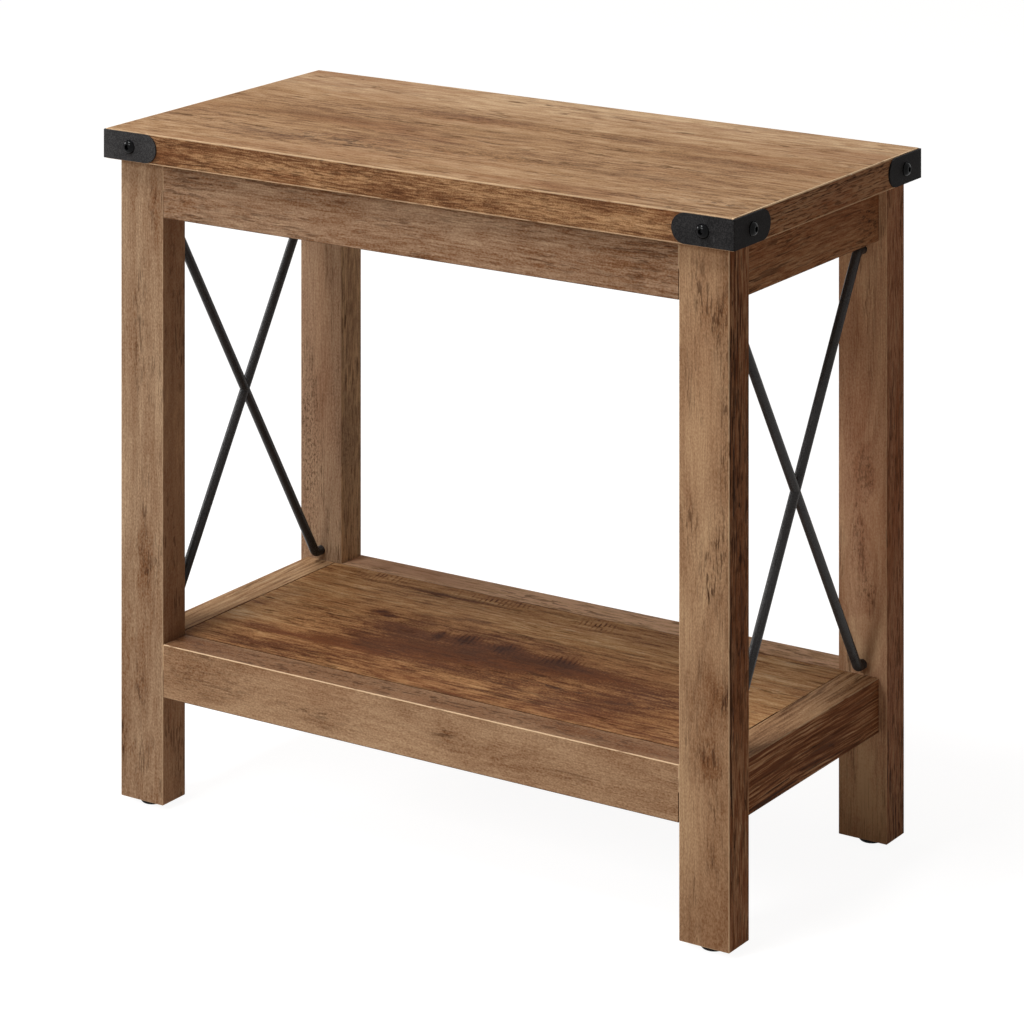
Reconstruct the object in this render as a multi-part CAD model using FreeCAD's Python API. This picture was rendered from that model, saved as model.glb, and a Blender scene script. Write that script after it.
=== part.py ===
# Two-tier side table: a board top with steel corner brackets on four legs, aprons under
# the top, a shelf in a frame of rails, a pair of crossed steel rods at each end and a
# levelling foot under each leg.
# Lengths are millimetres. The origin is on the floor under the middle of the table,
# X runs along the long side, Y from the front to the back and Z up.
import FreeCAD, Part
import math
import os
from FreeCAD import Vector

# Table top
top_length = 600.0
top_depth = 300.0
top_thickness = 25.0
top_overhang = 9.0
table_height = 559.0

# Legs, and the softened edge that every board has
leg_width = 44.0
leg_depth = 30.0
board_arris = 0.8

# Aprons under the top, rails round the shelf, and the shelf board
side_member_thickness = 30.0
apron_height = 45.0
rail_height = 44.0
rail_ground_gap = 94.0
shelf_thickness = 15.0
shelf_fit_gap = 0.2

# Corner brackets of bent plate
bracket_plate = 1.5
bracket_arm = 55.0
bracket_margin = 0.8
bracket_bend_radius = 1.3

# Button head screws through the brackets
screw_head_diameter = 11.2
screw_head_height = 3.3
screw_head_land = 0.7
screw_crown_diameter = 5.6
screw_crown_bulge = 0.5
screw_shank_diameter = 4.5
screw_length = 22.0
screw_socket_width = 4.0
screw_socket_depth = 1.9
screw_hole_gap = 0.1

# Crossed rods with bent ends that plug into the legs
rod_diameter = 8.0
rod_end_offset = 8.3
rod_stub_length = 8.5
rod_bend_radius = 5.0
rod_insertion = 14.0
rod_hole_gap = 0.15
rod_lap_gap = 0.05

# Levelling feet: a pad that swivels on the head of a threaded stud
foot_diameter = 20.5
foot_height = 5.0
foot_rounding = 2.8
foot_floor = 1.2
stud_diameter = 6.0
stud_length = 24.0
stud_head_diameter = 9.0
stud_head_height = 2.0
stud_gap = 0.08
insert_diameter = 10.0
insert_length = 13.0

# Wooden dowels
dowel_diameter = 8.0
dowel_length = 30.0
dowel_spread = 14.0
dowel_seat = 11.0

# Cam locks and their bolts
cam_diameter = 15.0
cam_cover = 2.7
cam_setback = 24.0
cam_slot_width = 2.0
cam_slot_depth = 2.5
bolt_axis_share = 0.69
bolt_thread_diameter = 6.0
bolt_thread_length = 8.0
bolt_shank_diameter = 5.0
bolt_head_diameter = 7.0
bolt_head_length = 3.0

# Clearances and the overrun of every through cut
fitting_gap = 0.1
blind_gap = 1.0
overrun = 1.0

# Places along a member where it meets the top or the shelf, as shares of its half length
top_cam_shares = (-0.6, 0.6)
top_dowel_shares = (-0.3, 0.3)
shelf_cam_shares = (-0.5, 0.5)
shelf_dowel_shares = (-0.75, 0.0, 0.75)
shelf_end_dowel_shares = (-0.5, 0.5)

# Heights that the driving sizes give
top_underside = table_height - top_thickness
apron_underside = top_underside - apron_height
rail_top = rail_ground_gap + rail_height
apron_middle = (top_underside + apron_underside) / 2
rail_middle = (rail_top + rail_ground_gap) / 2

# Sizes that follow the boards which the fittings go on
bracket_height = top_thickness - 2 * bracket_margin
cam_height = shelf_thickness - cam_cover
bolt_axis_depth = bolt_axis_share * cam_height

# Plan of the legs and of the members between them
leg_outer_x = top_length / 2 - top_overhang
leg_outer_y = top_depth / 2 - top_overhang
leg_inner_x = leg_outer_x - leg_width
leg_inner_y = leg_outer_y - leg_depth
leg_centre_x = leg_outer_x - leg_width / 2
leg_centre_y = leg_outer_y - leg_depth / 2
side_member_inner_x = leg_centre_x - side_member_thickness / 2
shelf_half_x = side_member_inner_x - shelf_fit_gap
shelf_half_y = leg_inner_y - shelf_fit_gap

X_AXIS = Vector(1, 0, 0)
Y_AXIS = Vector(0, 1, 0)
Z_AXIS = Vector(0, 0, 1)
CORNERS = {
    "front_left": (-1, -1),
    "front_right": (1, -1),
    "rear_left": (-1, 1),
    "rear_right": (1, 1),
}
SIDES = {"left": -1, "right": 1}
ENDS = {"front": -1, "rear": 1}

pieces = {}
cuts = {}


def add_cut(node, shape):
    """Keep a shape to be taken out of a node when all the pieces are known."""
    cuts.setdefault(node, []).append(shape)


def add_solid(node, shape):
    """Put one more solid into a node."""
    pieces.setdefault(node, []).append(shape)


def block(low, high):
    """Box between two corners."""
    size = high - low
    return Part.makeBox(size.x, size.y, size.z, low)


def board(low, high):
    """Box between two corners with a softened arris on every edge."""
    solid = block(low, high)
    return solid.makeFillet(board_arris, solid.Edges)


def bar(radius, start, direction, length):
    """Round bar from a point along a direction."""
    return Part.makeCylinder(radius, length, start, direction)


def extruded_outline(edges, direction):
    """Solid made by moving a closed outline along a direction."""
    return Part.Face(Part.Wire(edges)).extrude(direction)


def line(start, end):
    """Straight edge of an outline."""
    return Part.LineSegment(start, end).toShape()


def arc(start, middle, end):
    """Round edge of an outline through three points."""
    return Part.Arc(start, middle, end).toShape()


def top_panel():
    """Board of the table top."""
    low = Vector(-top_length / 2, -top_depth / 2, top_underside)
    high = Vector(top_length / 2, top_depth / 2, table_height)
    add_solid("top_panel", board(low, high))


def legs():
    """Four posts that stand on their feet and carry the top."""
    for corner, (side, end) in CORNERS.items():
        half = Vector(leg_width / 2, leg_depth / 2, 0)
        centre = Vector(side * leg_centre_x, end * leg_centre_y, 0)
        low = centre - half + Z_AXIS * foot_height
        high = centre + half + Z_AXIS * top_underside
        add_solid("leg_" + corner, board(low, high))


def long_members(name, bottom, top):
    """Front and rear members, as thick as the legs are deep and flush with them."""
    for end_name, end in ENDS.items():
        near, far = sorted((end * leg_inner_y, end * leg_outer_y))
        low = Vector(-leg_inner_x, near, bottom)
        high = Vector(leg_inner_x, far, top)
        add_solid(end_name + "_" + name, board(low, high))


def side_members(name, bottom, top):
    """Left and right members, on the middle of the legs' width."""
    for side_name, side in SIDES.items():
        centre = side * leg_centre_x
        low = Vector(centre - side_member_thickness / 2, -leg_inner_y, bottom)
        high = Vector(centre + side_member_thickness / 2, leg_inner_y, top)
        add_solid(side_name + "_" + name, board(low, high))


def shelf_panel():
    """Shelf board, flush with the top of the rails round it."""
    low = Vector(-shelf_half_x, -shelf_half_y, rail_top - shelf_thickness)
    high = Vector(shelf_half_x, shelf_half_y, rail_top)
    add_solid("shelf_panel", board(low, high))


def dowel(node, seat, into, carrier, receiver):
    """Dowel across a joint, and its hole in the carrier and in the receiver.

    The seat is the point of the joint on the dowel's axis, and into points from the
    carrier to the receiver.
    """
    radius = dowel_diameter / 2
    tail = dowel_length - dowel_seat
    add_solid(node, bar(radius, seat - into * tail, into, dowel_length))
    add_cut(carrier, bar(radius + fitting_gap, seat, -into, tail + blind_gap))
    add_cut(receiver, bar(radius + fitting_gap, seat, into, dowel_seat + blind_gap))


def cam_fitting(name, seat, into, face, carrier, receiver):
    """Cam lock in the carrier's hidden face and its bolt in the receiver.

    The seat is the point of the joint on the bolt's axis, into points from the carrier to
    the receiver, and face is the outward normal of the carrier's hidden face.
    """
    centre = seat - into * cam_setback
    mouth = centre + face * bolt_axis_depth
    head_radius = bolt_head_diameter / 2
    head_start = centre - into * (bolt_head_length / 2)

    thread = bar(bolt_thread_diameter / 2, seat, into, bolt_thread_length)
    shank = bar(bolt_shank_diameter / 2, centre, into, cam_setback)
    head = bar(head_radius, head_start, into, bolt_head_length)
    add_solid(name + "_cam_bolts", thread.fuse([shank, head]).removeSplitter())

    channel_radius = head_radius + fitting_gap
    channel_start = head_start - into * fitting_gap
    channel_length = cam_setback + bolt_head_length / 2 + fitting_gap
    channel = bar(channel_radius, channel_start, into, channel_length)
    across = into.cross(face)
    half_slot = cam_slot_width / 2
    slot_reach = cam_diameter / 2 + overrun
    corner = mouth - into * slot_reach - across * half_slot - face * cam_slot_depth
    slot_edges = [
        corner,
        corner + into * (2 * slot_reach),
        corner + into * (2 * slot_reach) + across * cam_slot_width,
        corner + across * cam_slot_width,
        corner,
    ]
    slot_face = Part.Face(Part.makePolygon(slot_edges))
    slot = slot_face.extrude(face * (cam_slot_depth + overrun))
    cam = bar(cam_diameter / 2, mouth - face * cam_height, face, cam_height)
    add_solid(name + "_cam_locks", cam.cut([channel, slot]))

    pocket_radius = cam_diameter / 2 + fitting_gap
    pocket_depth = cam_height + fitting_gap
    pocket = bar(pocket_radius, mouth - face * pocket_depth, face, pocket_depth + overrun)
    add_cut(carrier, pocket)
    add_cut(carrier, channel.copy())
    thread_radius = bolt_thread_diameter / 2 + fitting_gap
    add_cut(receiver, bar(thread_radius, seat, into, bolt_thread_length + blind_gap))


def end_joint(name, member, leg, edge, into, face, thickness):
    """Cam fitting and two dowels where a member's end meets a leg.

    The edge is the point of the joint on the member's hidden face, at half its height.
    """
    cam_fitting(name, edge - face * bolt_axis_depth, into, face, member, leg)
    for step in (-1, 1):
        seat = edge - face * (thickness / 2) + Z_AXIS * (step * dowel_spread)
        dowel(name + "_dowels", seat, into, member, leg)


def level_joints(name, height):
    """Joints of the four members of one level with the legs."""
    for corner, (side, end) in CORNERS.items():
        end_name, side_name = corner.split("_")
        leg = "leg_" + corner
        along, across = X_AXIS * side, Y_AXIS * end
        edge = Vector(side * leg_inner_x, end * leg_inner_y, height)
        end_joint(name, end_name + "_" + name, leg, edge, along, -across, leg_depth)
        edge = Vector(side * side_member_inner_x, end * leg_inner_y, height)
        end_joint(name, side_name + "_" + name, leg, edge, across, -along, side_member_thickness)


def top_joints():
    """Cam fittings and dowels between the aprons and the top."""
    for end_name, end in ENDS.items():
        apron = end_name + "_apron"
        face = Y_AXIS * -end
        edge = Vector(0, end * leg_inner_y, top_underside)
        for share in top_cam_shares:
            seat = edge + X_AXIS * (share * leg_inner_x) - face * bolt_axis_depth
            cam_fitting("top", seat, Z_AXIS, face, apron, "top_panel")
        for share in top_dowel_shares:
            seat = edge + X_AXIS * (share * leg_inner_x) - face * (leg_depth / 2)
            dowel("top_dowels", seat, Z_AXIS, apron, "top_panel")
    for side_name, side in SIDES.items():
        face = X_AXIS * -side
        edge = Vector(side * side_member_inner_x, 0, top_underside)
        seat = edge - face * bolt_axis_depth
        cam_fitting("top", seat, Z_AXIS, face, side_name + "_apron", "top_panel")


def shelf_joints():
    """Cam fittings and dowels between the shelf and the rails round it."""
    underside = rail_top - shelf_thickness
    middle_height = rail_top - shelf_thickness / 2
    for end_name, end in ENDS.items():
        rail = end_name + "_rail"
        into = Y_AXIS * end
        edge_y = end * leg_inner_y
        for share in shelf_cam_shares:
            seat = Vector(share * shelf_half_x, edge_y, underside + bolt_axis_depth)
            cam_fitting("shelf", seat, into, -Z_AXIS, "shelf_panel", rail)
        for share in shelf_dowel_shares:
            seat = Vector(share * shelf_half_x, edge_y, middle_height)
            dowel("shelf_dowels", seat, into, "shelf_panel", rail)
    for side_name, side in SIDES.items():
        rail = side_name + "_rail"
        for share in shelf_end_dowel_shares:
            seat = Vector(side * side_member_inner_x, share * shelf_half_y, middle_height)
            dowel("shelf_dowels", seat, X_AXIS * side, "shelf_panel", rail)


def bracket_arm_plate(corner, along, normal):
    """Arm of a bracket: a strip with a half-round free end.

    The corner is the lower outer corner of the bracket, along points to the free end and
    normal points out of the board.
    """
    radius = bracket_height / 2
    head = corner + Z_AXIS * bracket_height
    straight = along * (bracket_arm - radius)
    tip = corner + along * bracket_arm + Z_AXIS * radius
    edges = [
        line(corner, corner + straight),
        arc(corner + straight, tip, head + straight),
        line(head + straight, head),
        line(head, corner),
    ]
    return extruded_outline(edges, normal * -bracket_plate)


def bracket_screw(seat, normal):
    """Button head screw with a hexagon socket, seated on the bracket at a point."""
    rim = screw_head_diameter / 2
    crown = screw_crown_diameter / 2
    across = Z_AXIS
    base = seat + across * rim
    land = base + normal * screw_head_land
    peak = seat + across * crown + normal * screw_head_height
    outward = across * (peak - land).dot(normal) - normal * (peak - land).dot(across)
    bulge = (land + peak) / 2 + outward.normalize() * screw_crown_bulge
    top = seat + normal * screw_head_height
    edges = [
        line(seat, base),
        line(base, land),
        arc(land, bulge, peak),
        line(peak, top),
        line(top, seat),
    ]
    head = Part.Face(Part.Wire(edges)).revolve(seat, normal, 360)
    shank = bar(screw_shank_diameter / 2, seat, -normal, screw_length)
    socket_corner = screw_socket_width / 3 ** 0.5
    turn = FreeCAD.Rotation(normal, 60)
    points = [across * socket_corner]
    for _ in range(6):
        points.append(turn.multVec(points[-1]))
    floor = seat + normal * (screw_head_height - screw_socket_depth)
    outline = Part.makePolygon([floor + point for point in points])
    socket = Part.Face(outline).extrude(normal * (screw_socket_depth + overrun))
    return head.fuse(shank).removeSplitter().cut(socket)


def corner_brackets():
    """Bent plate over each corner of the top, held by a screw through each arm."""
    bottom = top_underside + bracket_margin
    centre = bottom + bracket_height / 2
    for corner_name, (side, end) in CORNERS.items():
        node = "corner_bracket_" + corner_name
        outer_x = side * (top_length / 2 + bracket_plate)
        outer_y = end * (top_depth / 2 + bracket_plate)
        corner = Vector(outer_x, outer_y, bottom)
        arms = ((X_AXIS * -side, Y_AXIS * end), (Y_AXIS * -end, X_AXIS * side))
        plates = [bracket_arm_plate(corner, along, normal) for along, normal in arms]
        bracket = plates[0].fuse(plates[1]).removeSplitter()
        bend = [
            edge for edge in bracket.Edges
            if all(abs(vertex.X - outer_x) + abs(vertex.Y - outer_y) < bracket_plate / 2
                   for vertex in edge.Vertexes)
        ]
        add_solid(node, bracket.makeFillet(bracket_bend_radius, bend))
        for along, normal in arms:
            seat = Vector(outer_x, outer_y, centre) + along * (bracket_arm / 2)
            add_solid("bracket_screws", bracket_screw(seat, normal))
            hole_radius = screw_shank_diameter / 2 + screw_hole_gap
            hole_start = seat + normal * overrun
            hole_depth = overrun + screw_length + blind_gap
            hole = bar(hole_radius, hole_start, -normal, hole_depth)
            add_cut(node, hole)
            add_cut("top_panel", hole.copy())


def rod_heights(rise):
    """Heights of a rod's front and rear ends, for a rod that rises or falls to the rear."""
    low = rail_top + rod_end_offset
    high = apron_underside - rod_end_offset
    return (low, high) if rise > 0 else (high, low)


def rod_slope(rise):
    """Direction of a rod's straight stretch, from the front to the rear."""
    front, rear = rod_heights(rise)
    knee = leg_inner_y - rod_stub_length
    return Vector(0, 2 * knee, rear - front).normalize()


def knee_arc(corner, incoming, outgoing):
    """Tangent arc at a bend of the rod, between two directions."""
    half_turn = incoming.getAngle(outgoing) / 2
    setback = rod_bend_radius * math.tan(half_turn)
    depth = rod_bend_radius * (1 / math.cos(half_turn) - 1)
    start = corner - incoming * setback
    middle = corner + (outgoing - incoming).normalize() * depth
    end = corner + outgoing * setback
    return start, end, arc(start, middle, end)


def brace_rod(plane_x, rise):
    """Rod between two legs, with both ends bent level to plug into them."""
    front_height, rear_height = rod_heights(rise)
    slope = rod_slope(rise)
    knee = leg_inner_y - rod_stub_length
    reach = leg_inner_y + rod_insertion
    front_tip = Vector(plane_x, -reach, front_height)
    rear_tip = Vector(plane_x, reach, rear_height)
    front_knee = Vector(plane_x, -knee, front_height)
    rear_knee = Vector(plane_x, knee, rear_height)
    front_start, front_end, front_bend = knee_arc(front_knee, Y_AXIS, slope)
    rear_start, rear_end, rear_bend = knee_arc(rear_knee, slope, Y_AXIS)
    path = Part.Wire([
        line(front_tip, front_start),
        front_bend,
        line(front_end, rear_start),
        rear_bend,
        line(rear_end, rear_tip),
    ])
    section = Part.Wire([Part.makeCircle(rod_diameter / 2, front_tip, Y_AXIS)])
    return path.makePipeShell([section], True, False)


def lap_cutter(plane_x, rise, outward):
    """Half of a rod's straight stretch at the crossing, on one side of the rods' plane."""
    reach = 2 * rod_diameter
    centre = Vector(plane_x, 0, (rail_top + apron_underside) / 2)
    slope = rod_slope(rise)
    whole = bar(rod_diameter / 2 + rod_lap_gap, centre - slope * reach, slope, 2 * reach)
    near, far = sorted((plane_x, plane_x + outward * rod_diameter))
    half_space = block(
        Vector(near, -reach, centre.z - reach), Vector(far, reach, centre.z + reach)
    )
    return whole.common(half_space)


def side_braces():
    """Two rods at each end of the table, halved into each other where they cross."""
    for side_name, side in SIDES.items():
        plane_x = side * leg_centre_x
        for word, rise in (("rising", 1), ("falling", -1)):
            node = side_name + "_brace_" + word + "_rod"
            add_solid(node, brace_rod(plane_x, rise))
            add_cut(node, lap_cutter(plane_x, -rise, -side * rise))
        for end_name, end in ENDS.items():
            leg = "leg_" + end_name + "_" + side_name
            for height in rod_heights(1):
                mouth = Vector(plane_x, end * leg_inner_y, height)
                hole_radius = rod_diameter / 2 + rod_hole_gap
                hole_depth = rod_insertion + blind_gap
                add_cut(leg, bar(hole_radius, mouth, Y_AXIS * end, hole_depth))


def foot_pad(centre):
    """Round pad with a socket for the stud's head."""
    socket_top = foot_floor + stud_head_height + 2 * stud_gap
    rim = foot_diameter / 2
    head = stud_head_diameter / 2 + stud_gap
    neck = stud_diameter / 2 + stud_gap
    diagonal = foot_rounding * (1 - 0.5 ** 0.5)

    def at(radius, height):
        return centre + X_AXIS * radius + Z_AXIS * height

    edges = [
        line(at(0, 0), at(rim - foot_rounding, 0)),
        arc(at(rim - foot_rounding, 0), at(rim - diagonal, diagonal), at(rim, foot_rounding)),
        line(at(rim, foot_rounding), at(rim, foot_height)),
        line(at(rim, foot_height), at(neck, foot_height)),
        line(at(neck, foot_height), at(neck, socket_top)),
        line(at(neck, socket_top), at(head, socket_top)),
        line(at(head, socket_top), at(head, foot_floor)),
        line(at(head, foot_floor), at(0, foot_floor)),
        line(at(0, foot_floor), at(0, 0)),
    ]
    return Part.Face(Part.Wire(edges)).revolve(centre, Z_AXIS, 360)


def levelling_feet():
    """Pad, stud and threaded insert under each leg."""
    for corner, (side, end) in CORNERS.items():
        centre = Vector(side * leg_centre_x, end * leg_centre_y, 0)
        add_solid("foot_pad_" + corner, foot_pad(centre))

        head_base = centre + Z_AXIS * (foot_floor + stud_gap)
        head = bar(stud_head_diameter / 2, head_base, Z_AXIS, stud_head_height)
        shank = bar(stud_diameter / 2, head_base, Z_AXIS, stud_length)
        add_solid("foot_stud_" + corner, head.fuse(shank).removeSplitter())

        mouth = centre + Z_AXIS * foot_height
        bore_radius = stud_diameter / 2 + stud_gap
        bore_depth = foot_floor + stud_gap + stud_length + blind_gap - foot_height
        sleeve = bar(insert_diameter / 2, mouth, Z_AXIS, insert_length)
        bore = bar(bore_radius, mouth, Z_AXIS, bore_depth)
        add_solid("leg_inserts", sleeve.cut(bore))
        sleeve_hole = bar(insert_diameter / 2 + fitting_gap, mouth, Z_AXIS, insert_length)
        add_cut("leg_" + corner, sleeve_hole)
        add_cut("leg_" + corner, bore.copy())


def finish():
    """Take the cuts out of the pieces and write one file for each node."""
    os.makedirs("parts", exist_ok=True)
    for node, solids in pieces.items():
        if node in cuts:
            solids = [solid.cut(cuts[node]) for solid in solids]
        found = [solid for shape in solids for solid in shape.Solids]
        Part.makeCompound(found).exportStep("parts/" + node + ".step")


top_panel()
legs()
long_members("apron", apron_underside, top_underside)
side_members("apron", apron_underside, top_underside)
long_members("rail", rail_ground_gap, rail_top)
side_members("rail", rail_ground_gap, rail_top)
shelf_panel()
level_joints("apron", apron_middle)
level_joints("rail", rail_middle)
top_joints()
shelf_joints()
corner_brackets()
side_braces()
levelling_feet()
finish()
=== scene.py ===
"""Dresses a two-tier side table: oak-print boards, black steel, plastic feet, floor and light."""

from __future__ import annotations

import logging
import math
from dataclasses import dataclass
from enum import Enum

import bpy
import numpy as np
from mathutils import Matrix, Vector


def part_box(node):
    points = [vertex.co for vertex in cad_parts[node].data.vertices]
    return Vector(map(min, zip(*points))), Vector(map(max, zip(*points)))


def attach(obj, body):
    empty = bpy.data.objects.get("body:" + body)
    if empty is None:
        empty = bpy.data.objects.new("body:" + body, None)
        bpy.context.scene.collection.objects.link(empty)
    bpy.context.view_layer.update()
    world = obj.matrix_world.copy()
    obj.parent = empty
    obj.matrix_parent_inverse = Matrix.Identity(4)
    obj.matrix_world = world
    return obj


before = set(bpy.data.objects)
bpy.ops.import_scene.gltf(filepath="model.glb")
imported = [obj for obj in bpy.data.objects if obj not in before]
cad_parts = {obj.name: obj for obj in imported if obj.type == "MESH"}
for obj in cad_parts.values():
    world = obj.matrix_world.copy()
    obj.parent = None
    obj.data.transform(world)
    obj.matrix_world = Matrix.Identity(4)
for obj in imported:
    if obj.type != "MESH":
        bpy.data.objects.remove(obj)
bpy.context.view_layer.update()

LOG = logging.getLogger("side_table")
CORNERS = ("front_left", "front_right", "rear_left", "rear_right")
SIDES = ("left", "right")
MM = 0.001
NOISE_MEAN = 0.5

# Steps on how squarely a surface faces along an axis, which runs from 0 to 1.
FACING = (0.6, 0.8)
SQUARE_ON = (0.8, 0.9)
TURNED_AWAY = (0.6, 0.4)

# Where each board's print is cut from the noise: a start, and a step for each seed.
SEED_START = (0.0, 1.7, 0.4)
SEED_STEP = (7.3, 3.1, 5.9)

Pair = tuple[float, float]
Triple = tuple[float, float, float]
Colour = tuple[float, float, float, float]


def linear(red: int, green: int, blue: int) -> Colour:
    """Turns a display colour into the linear colour that a shader takes.

    Args:
        red: Red, 0 to 255.
        green: Green, 0 to 255.
        blue: Blue, 0 to 255.

    Returns:
        The colour with an alpha of 1. Each channel c is ((c + 0.055) / 1.055) to the power 2.4, or c / 12.92
        near black.
    """
    shares = (red / 255, green / 255, blue / 255)
    straight = [c / 12.92 if c <= 0.04045 else ((c + 0.055) / 1.055) ** 2.4 for c in shares]
    return (straight[0], straight[1], straight[2], 1.0)


class Shade:
    """One output of a shader tree, with operators that add Math nodes to the tree."""

    def __init__(self, tree: ShaderTree, socket: bpy.types.NodeSocket) -> None:
        """Keeps the tree and the socket."""
        self.tree = tree
        self.socket = socket

    def math(self, operation: str, *others: Shade | float) -> Shade:
        """Adds one Math node.

        Args:
            operation: The Math node's operation.
            others: The second and third values, where the operation has them.

        Returns:
            The node's value.
        """
        return self.tree.node("ShaderNodeMath", {"operation": operation}, dict(enumerate((self, *others))))

    def __add__(self, other: Shade | float) -> Shade:
        """Self plus other."""
        return self.math("ADD", other)

    def __radd__(self, other: float) -> Shade:
        """Other plus self."""
        return self.math("ADD", other)

    def __sub__(self, other: Shade | float) -> Shade:
        """Self less other."""
        return self.math("SUBTRACT", other)

    def __rsub__(self, other: float) -> Shade:
        """Other less self."""
        return (self * -1.0) + other

    def __mul__(self, other: Shade | float) -> Shade:
        """Self times other."""
        return self.math("MULTIPLY", other)

    def __rmul__(self, other: float) -> Shade:
        """Other times self."""
        return self.math("MULTIPLY", other)

    def clamp(self) -> Shade:
        """Self held between 0 and 1."""
        return self.tree.node("ShaderNodeClamp", None, {"Value": self})

    def step(self, low: float, high: float) -> Shade:
        """Adds a smooth step.

        Args:
            low: The value that gives 0.
            high: The value that gives 1. A high below low turns the step round.

        Returns:
            A value that goes smoothly from 0 to 1.
        """
        ends = {"Value": self, "From Min": min(low, high), "From Max": max(low, high)}
        ends |= {"To Min": float(low > high), "To Max": float(low <= high)}
        return self.tree.node("ShaderNodeMapRange", {"interpolation_type": "SMOOTHSTEP"}, ends)


class ShaderTree:
    """The nodes of a material or of a world under construction."""

    def __init__(self, owner: bpy.types.Material | bpy.types.World) -> None:
        """Starts an empty node tree for its owner."""
        self.owner = owner
        owner.use_nodes = True
        self.nodes = owner.node_tree.nodes
        self.links = owner.node_tree.links
        self.nodes.clear()

    @classmethod
    def of_material(cls, name: str) -> ShaderTree:
        """An empty tree for a new material of this name."""
        return cls(bpy.data.materials.new(name))

    def node(self, kind: str, settings: dict | None = None, inputs: dict | None = None,
             output: int | str = 0) -> Shade:
        """Adds any node.

        Args:
            kind: The node's type.
            settings: Its properties, set first. The key stops fills a colour ramp with (place, colour) pairs.
            inputs: A value or a Shade for each input, by name or number.
            output: The output wanted, by name or number.

        Returns:
            That output.
        """
        made = self.nodes.new(kind)
        for key, value in (settings or {}).items():
            if key == "stops":
                self.fill_ramp(made.color_ramp, value)
            else:
                setattr(made, key, value)
        for key, value in (inputs or {}).items():
            if isinstance(value, Shade):
                self.links.new(value.socket, made.inputs[key])
            else:
                made.inputs[key].default_value = value
        return Shade(self, made.outputs[output])

    @staticmethod
    def fill_ramp(ramp: bpy.types.ColorRamp, stops: list[tuple[float, Colour]]) -> None:
        """Gives a colour ramp its stops.

        Args:
            ramp: The ramp, which starts with two stops.
            stops: The places, rising from 0 to 1, and their colours.
        """
        for _ in stops[2:]:
            ramp.elements.new(0.5)
        for element, (place, colour) in zip(ramp.elements, stops):
            element.position = place
            element.color = colour

    def place(self) -> Shade:
        """The point on the surface, in the table's frame."""
        return self.node("ShaderNodeTexCoord", None, None, "Object")

    def facing(self) -> Shade:
        """The way that the surface faces, in the table's frame."""
        return self.node("ShaderNodeTexCoord", None, None, "Normal")

    def axes(self, vector: Shade) -> tuple[Shade, Shade, Shade]:
        """The three parts of a vector."""
        split = self.node("ShaderNodeSeparateXYZ", None, {0: vector}).socket.node
        return tuple(Shade(self, output) for output in split.outputs)

    def vector(self, parts: tuple[Shade | float, ...]) -> Shade:
        """A vector from its three parts."""
        return self.node("ShaderNodeCombineXYZ", None, dict(enumerate(parts)))

    def stretch(self, vector: Shade, scale: Triple, shift: Triple = (0.0, 0.0, 0.0)) -> Shade:
        """A vector times scale, plus shift."""
        parts = {0: vector, 1: scale, 2: shift}
        return self.node("ShaderNodeVectorMath", {"operation": "MULTIPLY_ADD"}, parts)

    def moved(self, vector: Shade, way: Shade) -> Shade:
        """A vector plus another."""
        return self.node("ShaderNodeVectorMath", {"operation": "ADD"}, {0: vector, 1: way})

    def way_from(self, point: Vector, place: Shade) -> Shade:
        """The way from a fixed point to a place."""
        return self.node("ShaderNodeVectorMath", {"operation": "SUBTRACT"}, {0: place, 1: tuple(point)})

    def noise(self, vector: Shade, scale: Triple, shift: Triple, detail: float = 2.0,
              roughness: float = 0.5, output: str = "Fac") -> Shade:
        """Adds a noise of a given grain size.

        Args:
            vector: The point that the noise is read at.
            scale: Waves in each metre along each axis.
            shift: How far the noise is moved, to give each board its own.
            detail: Octaves of finer noise.
            roughness: Strength of each octave against the one before.
            output: Fac for one noise, or Color for three at once.

        Returns:
            The noise, about 0.5 on average.
        """
        inputs = {"Vector": self.stretch(vector, scale, shift), "Scale": 1.0}
        inputs |= {"Detail": detail, "Roughness": roughness}
        return self.node("ShaderNodeTexNoise", {"noise_dimensions": "3D"}, inputs, output)

    def mix(self, factor: Shade | float, first: Shade | Colour, second: Shade | Colour) -> Shade:
        """The first colour turning into the second as factor goes from 0 to 1."""
        settings = {"data_type": "RGBA", "clamp_factor": True}
        return self.node("ShaderNodeMix", settings, {0: factor, 6: first, 7: second}, 2)

    def ramp(self, value: Shade, stops: list[tuple[float, Colour]]) -> Shade:
        """The colour that a ramp gives for a value."""
        return self.node("ShaderNodeValToRGB", {"stops": stops}, {"Fac": value}, "Color")

    def blob(self, place: Shade, centre: Vector, reach: Vector) -> Shade:
        """Adds a soft ellipsoid.

        Args:
            place: The point on the surface.
            centre: The ellipsoid's centre.
            reach: Its half sizes.

        Returns:
            e to the power of minus q, where q is the squared distance from the centre in half sizes.
        """
        near = self.stretch(self.way_from(centre, place), tuple(1 / r for r in reach))
        squared = self.node("ShaderNodeVectorMath", {"operation": "DOT_PRODUCT"}, {0: near, 1: near}, "Value")
        return (squared * -1.0).math("EXPONENT")

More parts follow.
